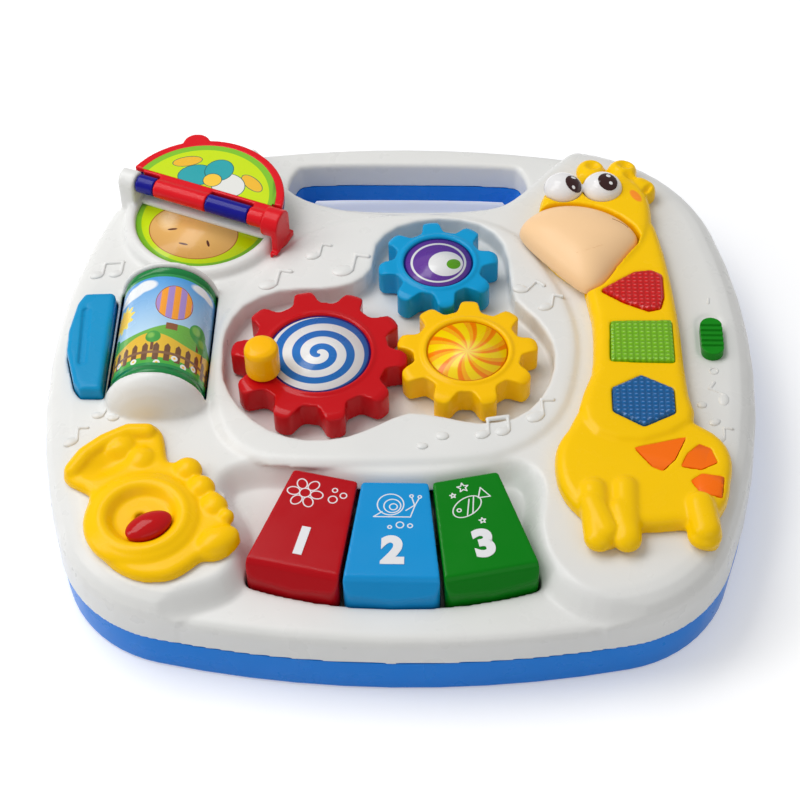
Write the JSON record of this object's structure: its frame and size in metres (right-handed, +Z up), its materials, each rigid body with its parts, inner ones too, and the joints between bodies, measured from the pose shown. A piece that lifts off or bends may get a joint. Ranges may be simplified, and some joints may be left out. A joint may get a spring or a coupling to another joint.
{
  "type": "musical activity table",
  "caption": "Musical activity table top: a rounded case with a carrying handle, piano keys, meshing gears, a picture book, a roller, a horn and a giraffe with light-up buttons.",
  "frame": {"origin": "centre of the case's plan outline, at the underside of the blue lower case", "axes": "+X to the right and +Y to the back, where the carrying handle is, as the child at the keys sees it; +Z up"},
  "size_m": [0.416, 0.3914, 0.0884],
  "materials": {
    "white_shell": "satin white moulding",
    "blue_shell": "satin blue moulding",
    "steel": "plated steel",
    "battery_sleeve": "printed sleeve",
    "spring_steel": "nickel plated",
    "speaker_black": "black paper and steel",
    "circuit": "green lacquered laminate",
    "lamp": "clear moulded",
    "red": "glossy red",
    "red_disc_print": "printed disc",
    "yellow": "glossy yellow",
    "yellow_disc_print": "printed disc",
    "light_blue": "glossy light blue",
    "blue_disc_print": "printed disc",
    "frame_grey": "moulded",
    "green": "glossy green",
    "rubber_dome": "grey silicone",
    "navy": "glossy dark blue",
    "label": "printed film",
    "paddle_blue": "glossy blue",
    "lime": "printed plate",
    "page_red": "glossy red",
    "giraffe_yellow": "satin yellow",
    "peach": "satin peach",
    "eye_white": "glossy white",
    "black": "glossy black",
    "orange": "glossy orange",
    "lens_red": "translucent red",
    "lens_green": "translucent lime",
    "lens_blue": "translucent blue",
    "switch_green": "ridged green"
  },
  "bodies": {
    "casing": {"top_shell": "white_shell", "base_shell": "blue_shell", "case_screws": "steel", "battery_door": "blue_shell", "door_screw": "steel", "batteries": "battery_sleeve", "battery_contacts": "spring_steel", "speaker": "speaker_black", "main_board": "circuit", "board_screws": "steel", "lamps": "lamp", "gear_screws": "steel", "key_frame": "frame_grey", "key_board": "circuit", "key_dome_1": "rubber_dome", "key_dome_2": "rubber_dome", "key_dome_3": "rubber_dome", "roller_axle": "steel", "paddle_dome": "rubber_dome", "base_picture": "lime", "hinge_rod": "steel", "page_bracket": "page_red", "horn_body": "giraffe_yellow", "giraffe_body": "giraffe_yellow", "giraffe_muzzle": "peach", "giraffe_eyes": "eye_white", "giraffe_pupils": "black", "giraffe_spots": "orange", "lens_dome_red": "rubber_dome", "lens_dome_green": "rubber_dome", "lens_dome_blue": "rubber_dome", "power_switch": "black"},
    "red_wheel": {"red_gear": "red", "red_disc": "red_disc_print"},
    "yellow_wheel": {"yellow_gear": "yellow", "yellow_disc": "yellow_disc_print"},
    "blue_wheel": {"blue_gear": "light_blue", "blue_disc": "blue_disc_print"},
    "crank": {"crank_knob": "yellow"},
    "left_key": {"key_1": "red"},
    "middle_key": {"key_2": "light_blue"},
    "right_key": {"key_3": "green"},
    "picture_roller": {"roller": "navy", "roller_cap": "navy", "roller_label": "label"},
    "side_paddle": {"paddle": "paddle_blue"},
    "front_page": {"red_page": "page_red", "red_page_pictures": "lime"},
    "back_page": {"blue_page": "navy", "blue_page_pictures": "lime"},
    "slider": {"horn_slider": "red"},
    "lens_1": {"lens_red": "lens_red"},
    "lens_2": {"lens_green": "lens_green"},
    "lens_3": {"lens_blue": "lens_blue"},
    "switch_slide": {"switch_knob": "switch_green"}
  },
  "joints": [
    {"name": "red_gear_spin", "type": "hinge", "parent": "casing", "child": "red_wheel", "pos_m": [-0.047, -0.0075, 0.055], "axis": [0, 0, 1], "continuous": true},
    {"name": "yellow_gear_spin", "type": "hinge", "parent": "casing", "child": "yellow_wheel", "pos_m": [0.039, -0.0045, 0.055], "axis": [0, 0, 1], "continuous": true},
    {"name": "blue_gear_spin", "type": "hinge", "parent": "casing", "child": "blue_wheel", "pos_m": [0.021, 0.0675, 0.055], "axis": [0, 0, 1], "continuous": true},
    {"name": "crank_knob_spin", "type": "hinge", "parent": "red_wheel", "child": "crank", "pos_m": [-0.07816, -0.0223, 0.075], "axis": [0, 0, 1], "continuous": true},
    {"name": "left_key_press", "type": "hinge", "parent": "casing", "child": "left_key", "pos_m": [-0.03667, -0.08732, 0.041], "axis": [0.9744, -0.225, 0], "range_deg": [0, 3], "stiffness_Nm_per_rad": 1.6, "springref_deg": -1.72},
    {"name": "middle_key_press", "type": "hinge", "parent": "casing", "child": "middle_key", "pos_m": [0, -0.0915, 0.041], "axis": [1, 0, 0], "range_deg": [0, 3], "stiffness_Nm_per_rad": 1.6, "springref_deg": -1.72},
    {"name": "right_key_press", "type": "hinge", "parent": "casing", "child": "right_key", "pos_m": [0.03667, -0.08732, 0.041], "axis": [0.9744, 0.225, 0], "range_deg": [0, 3], "stiffness_Nm_per_rad": 1.6, "springref_deg": -1.72},
    {"name": "roller_spin", "type": "hinge", "parent": "casing", "child": "picture_roller", "pos_m": [-0.1395, 0.0035, 0.0545], "axis": [0, 1, 0], "continuous": true},
    {"name": "paddle_press", "type": "slide", "parent": "casing", "child": "side_paddle", "axis": [0, 0, -1], "range_m": [0, 0.003], "stiffness_N_per_m": 350, "springref_m": -0.002},
    {"name": "front_page_turn", "type": "hinge", "parent": "casing", "child": "front_page", "pos_m": [-0.125, 0.108, 0.0765], "axis": [0.9298, -0.3681, 0], "range_deg": [0, 176]},
    {"name": "back_page_turn", "type": "hinge", "parent": "casing", "child": "back_page", "pos_m": [-0.125, 0.108, 0.0765], "axis": [0.9298, -0.3681, 0], "range_deg": [0, 170.72]},
    {"name": "horn_slide", "type": "slide", "parent": "casing", "child": "slider", "axis": [-0.5299, 0.848, 0], "range_m": [0, 0.01]},
    {"name": "lens_red_press", "type": "slide", "parent": "casing", "child": "lens_1", "axis": [0, 0, -1], "range_m": [0, 0.0015], "stiffness_N_per_m": 500, "springref_m": -0.0015},
    {"name": "lens_green_press", "type": "slide", "parent": "casing", "child": "lens_2", "axis": [0, 0, -1], "range_m": [0, 0.0015], "stiffness_N_per_m": 500, "springref_m": -0.0015},
    {"name": "lens_blue_press", "type": "slide", "parent": "casing", "child": "lens_3", "axis": [0, 0, -1], "range_m": [0, 0.0015], "stiffness_N_per_m": 500, "springref_m": -0.0015},
    {"name": "switch_slide_move", "type": "slide", "parent": "casing", "child": "switch_slide", "axis": [0, 1, 0], "range_m": [0, 0.008]}
  ],
  "couplings": [
    {"joint": "yellow_gear_spin", "follows": "red_gear_spin", "ratio": -1.1111},
    {"joint": "blue_gear_spin", "follows": "red_gear_spin", "ratio": 1.25},
    {"joint": "back_page_turn", "follows": "front_page_turn", "ratio": 0.97}
  ]
}
